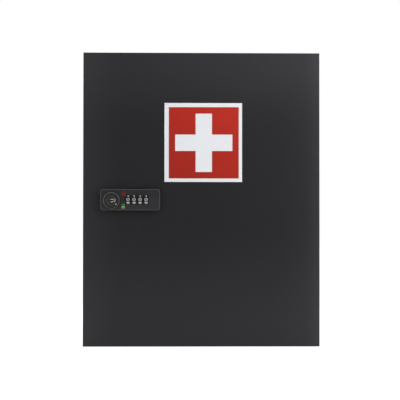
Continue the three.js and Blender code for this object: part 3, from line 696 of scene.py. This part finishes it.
def glyph(character):
    """A bmesh of a character of the plain built-in font, flat in X and Y."""
    curve = bpy.data.curves.new("numeral", "FONT")
    curve.body = character
    curve.resolution_u = 4
    holder = bpy.data.objects.new("numeral", curve)
    bpy.context.scene.collection.objects.link(holder)
    bpy.context.view_layer.update()
    mesh = bpy.data.meshes.new_from_object(holder.evaluated_get(bpy.context.evaluated_depsgraph_get()))
    bm = bmesh.new()
    bm.from_mesh(mesh)
    bpy.data.objects.remove(holder)
    bpy.data.curves.remove(curve)
    bpy.data.meshes.remove(mesh)
    bmesh.ops.remove_doubles(bm, verts=bm.verts, dist=1e-5)
    return bm


def letter(character, width, height):
    """A bmesh of one bold, squarish numeral, centred, width by height metres, flat in X and Y."""
    if character == "1":
        bm = bmesh.new()
        bm.faces.new([bm.verts.new((u * width / 2, w * height / 2, 0)) for u, w in NUMERAL_ONE])
        return bm
    bm = glyph(character)
    xs = [v.co.x for v in bm.verts]
    ys = [v.co.y for v in bm.verts]
    middle = Vector((max(xs) + min(xs), max(ys) + min(ys))) / 2
    half = Vector((max(xs) - min(xs), max(ys) - min(ys))) / 2
    wider, taller = DIGIT_BOLD[0] * MM, DIGIT_BOLD[1] * MM
    for v in bm.verts:
        u = (v.co.x - middle.x) / half.x
        w = (v.co.y - middle.y) / half.y
        wide = u * (1 + DIGIT_SQUARENESS * w * w * (1 - u * u))
        tall = w * (1 + DIGIT_SQUARENESS * u * u * (1 - w * w))
        v.co = Vector((wide * (width / 2 - wider), tall * (height / 2 - taller), 0))
    embolden(bm, wider, taller)
    return bm


def wheel_directions(digit):
    """Out of a wheel through the middle of a digit's flat, and up along that flat."""
    turn = math.radians(360 / DIGITS * digit)
    out = Vector((0, -math.cos(turn), math.sin(turn)))
    up = Vector((0, math.sin(turn), math.cos(turn)))
    return out, up


def add_numeral(bm, digit, axis, flat):
    """Adds a digit as raised ink on its flat, which lies flat millimetres from the axis."""
    out, up = wheel_directions(digit)
    numeral = letter(str(digit), DIGIT_WIDTH * MM, DIGIT_HEIGHT * MM)
    faces = bmesh.ops.extrude_face_region(numeral, geom=numeral.faces[:])
    for raised in faces["geom"]:
        if isinstance(raised, bmesh.types.BMVert):
            raised.co.z += INK_THICKNESS * MM
    centre = axis + out * (flat - DIGIT_SUNK) * MM + up * DIGIT_RISE * MM
    for v in numeral.verts:
        v.co = centre + Vector((v.co.x, 0, 0)) + up * v.co.y + out * v.co.z
    mesh = bpy.data.meshes.new("numeral")
    numeral.to_mesh(mesh)
    numeral.free()
    bm.from_mesh(mesh)
    bpy.data.meshes.remove(mesh)


def number_wheels():
    """Each wheel with rounded edges, and its numerals, of which the zero and the one are printed in dimmer inks as
    painted shade.
    """
    for i in range(WHEELS):
        node = f"dial_wheel_{i + 1}"
        formed(node, WHEEL_EDGE, 2, 12)
        low, _ = corners_mm(node)
        axis = Vector(JOINTS[f"dial_{i + 1}_turn"]["pos_m"])
        flat = axis.y / MM - low.y
        bm = bmesh.new()
        for digit in range(DIGITS):
            add_numeral(bm, digit, axis, flat)
        piece = settle(bm, f"dial_numbers_{i + 1}", INKS["white"], f"dial_{i + 1}")
        # The zero and the one get dimmer inks: painted shade
        for digit, shaded_ink in ((0, "rubbed_and_painted_light"), (1, "worn_and_painted_light")):
            out, _ = wheel_directions(digit)

            def on_flat(face):
                return (face.center - axis).normalized().dot(out) > ON_ONE_FLAT

            second_material(piece, INKS[shaded_ink], on_flat)


def padlock_mark(name, material, right, foot, height, rise, swing):
    """A printed padlock: a body that starts foot above the lock's centre, with a shackle on top."""
    x = LOCK_LOW.x + MARK_FROM_HOUSING_EDGE + right
    body_z = LOCK_Z + foot + height / 2
    front = LOCK_FACE - INK_THICKNESS
    back = LOCK_FACE + MARK_SUNK
    bm = prism(rounded_rectangle(MARK_BODY_WIDTH, height, MARK_CORNER, (x, body_z)), front, back)
    shoulder = body_z + height / 2 - MARK_OVERLAP
    outer, inner = SHACKLE_WIDTH / 2, SHACKLE_WIDTH / 2 - SHACKLE_BAND
    middle, crown = x + swing, shoulder + rise - outer
    turns = [math.pi * i / SHACKLE_STEPS for i in range(SHACKLE_STEPS + 1)]
    outline = [(middle + outer, shoulder)]
    outline += [(middle + outer * math.cos(t), crown + outer * math.sin(t)) for t in turns]
    outline += [(middle - outer, shoulder), (middle - inner, shoulder)]
    outline += [(middle - inner * math.cos(t), crown + inner * math.sin(t)) for t in turns]
    outline += [(middle + inner, shoulder)]
    prism(outline, front, back, bm)
    settle(bm, name, material, "door")


knob()
cylinder()
plug()
number_wheels()
padlock_mark("open_mark", INKS["red"], **OPEN_MARK)
padlock_mark("closed_mark", INKS["green"], **CLOSED_MARK)


# Stage, light and camera


def seen_directly(tree):
    """1 for rays from the camera, reflections and clear things, and 0 for the light they don't carry."""
    path = tree.nodes.new("ShaderNodeLightPath")
    seen = path.outputs["Is Camera Ray"]
    for ray in ("Is Glossy Ray", "Is Transmission Ray"):
        larger = tree.nodes.new("ShaderNodeMath")
        larger.operation = "MAXIMUM"
        tree.links.new(seen, larger.inputs[0])
        tree.links.new(path.outputs[ray], larger.inputs[1])
        seen = larger.outputs[0]
    return seen


def floor():
    """A matt floor that keeps the shadow and looks white."""
    material = bpy.data.materials.new("studio_floor")
    material.use_nodes = True
    tree = material.node_tree
    tree.nodes.clear()
    matt = tree.nodes.new("ShaderNodeBsdfDiffuse")
    matt.inputs["Color"].default_value = (FLOOR_MATT, FLOOR_MATT, FLOOR_MATT, 1)
    glow = tree.nodes.new("ShaderNodeEmission")
    glow.inputs["Color"].default_value = (FLOOR_GLOW, FLOOR_GLOW, FLOOR_GLOW, 1)
    tree.links.new(seen_directly(tree), glow.inputs["Strength"])
    both = tree.nodes.new("ShaderNodeAddShader")
    tree.links.new(matt.outputs[0], both.inputs[0])
    tree.links.new(glow.outputs[0], both.inputs[1])
    tree.links.new(both.outputs[0], tree.nodes.new("ShaderNodeOutputMaterial").inputs["Surface"])
    bm = bmesh.new()
    bmesh.ops.create_grid(bm, x_segments=8, y_segments=8, size=FLOOR_REACH)
    mesh = bpy.data.meshes.new("studio_floor")
    bm.to_mesh(mesh)
    bm.free()
    mesh.materials.append(material)
    made = bpy.data.objects.new("studio_floor", mesh)
    made.location.z = -FLOOR_BELOW * MM
    bpy.context.scene.collection.objects.link(made)


def surroundings():
    """An even grey light from all round, which the eye sees as white."""
    world = bpy.data.worlds.new("studio")
    world.use_nodes = True
    bpy.context.scene.world = world
    tree = world.node_tree
    strength = tree.nodes.new("ShaderNodeMapRange")
    strength.inputs["To Min"].default_value = AMBIENT
    strength.inputs["To Max"].default_value = 1.0
    tree.links.new(seen_directly(tree), strength.inputs["Value"])
    background = tree.nodes["Background"]
    background.inputs["Color"].default_value = (1, 1, 1, 1)
    tree.links.new(strength.outputs["Result"], background.inputs["Strength"])


def softbox(name, place, watts):
    """A square soft lamp at a place in metres, aimed at the middle of the object."""
    lamp = bpy.data.lights.new(name, "AREA")
    lamp.shape = "RECTANGLE"
    lamp.size = LAMP_SIZE
    lamp.size_y = LAMP_SIZE
    lamp.energy = watts
    made = bpy.data.objects.new(name, lamp)
    made.location = place
    made.rotation_euler = (Vector(LAMP_AIM) - Vector(place)).to_track_quat("-Z", "Y").to_euler()
    bpy.context.scene.collection.objects.link(made)


def camera():
    """The camera, aimed beside the middle of the door's face."""
    middle = (DOOR_LOW + DOOR_HIGH) / 2
    middle.y = DOOR_LOW.y
    azimuth, elevation = math.radians(CAMERA_AZIMUTH), math.radians(CAMERA_ELEVATION)
    level_back = Vector((math.sin(azimuth), -math.cos(azimuth), 0))
    back = level_back * math.cos(elevation) + Vector((0, 0, math.sin(elevation)))
    aim = middle - Vector((DOOR_RIGHT_OF_FRAME, 0, DOOR_ABOVE_FRAME))
    lens = bpy.data.cameras.new("camera")
    lens.sensor_width = SENSOR
    lens.lens = SENSOR * CAMERA_DISTANCE / FRAME_WIDTH
    made = bpy.data.objects.new("camera", lens)
    made.location = (aim + back * CAMERA_DISTANCE) * MM
    level = (-back).to_track_quat("-Z", "Y").to_matrix()
    made.rotation_euler = (level @ Matrix.Rotation(math.radians(CAMERA_ROLL), 3, "Z")).to_euler()
    bpy.context.scene.collection.objects.link(made)
    bpy.context.scene.camera = made


floor()
surroundings()
for lamp_name, (lamp_place, lamp_watts) in LAMPS.items():
    softbox(lamp_name, lamp_place, lamp_watts)
camera()
bpy.context.scene.view_settings.view_transform = "Standard"
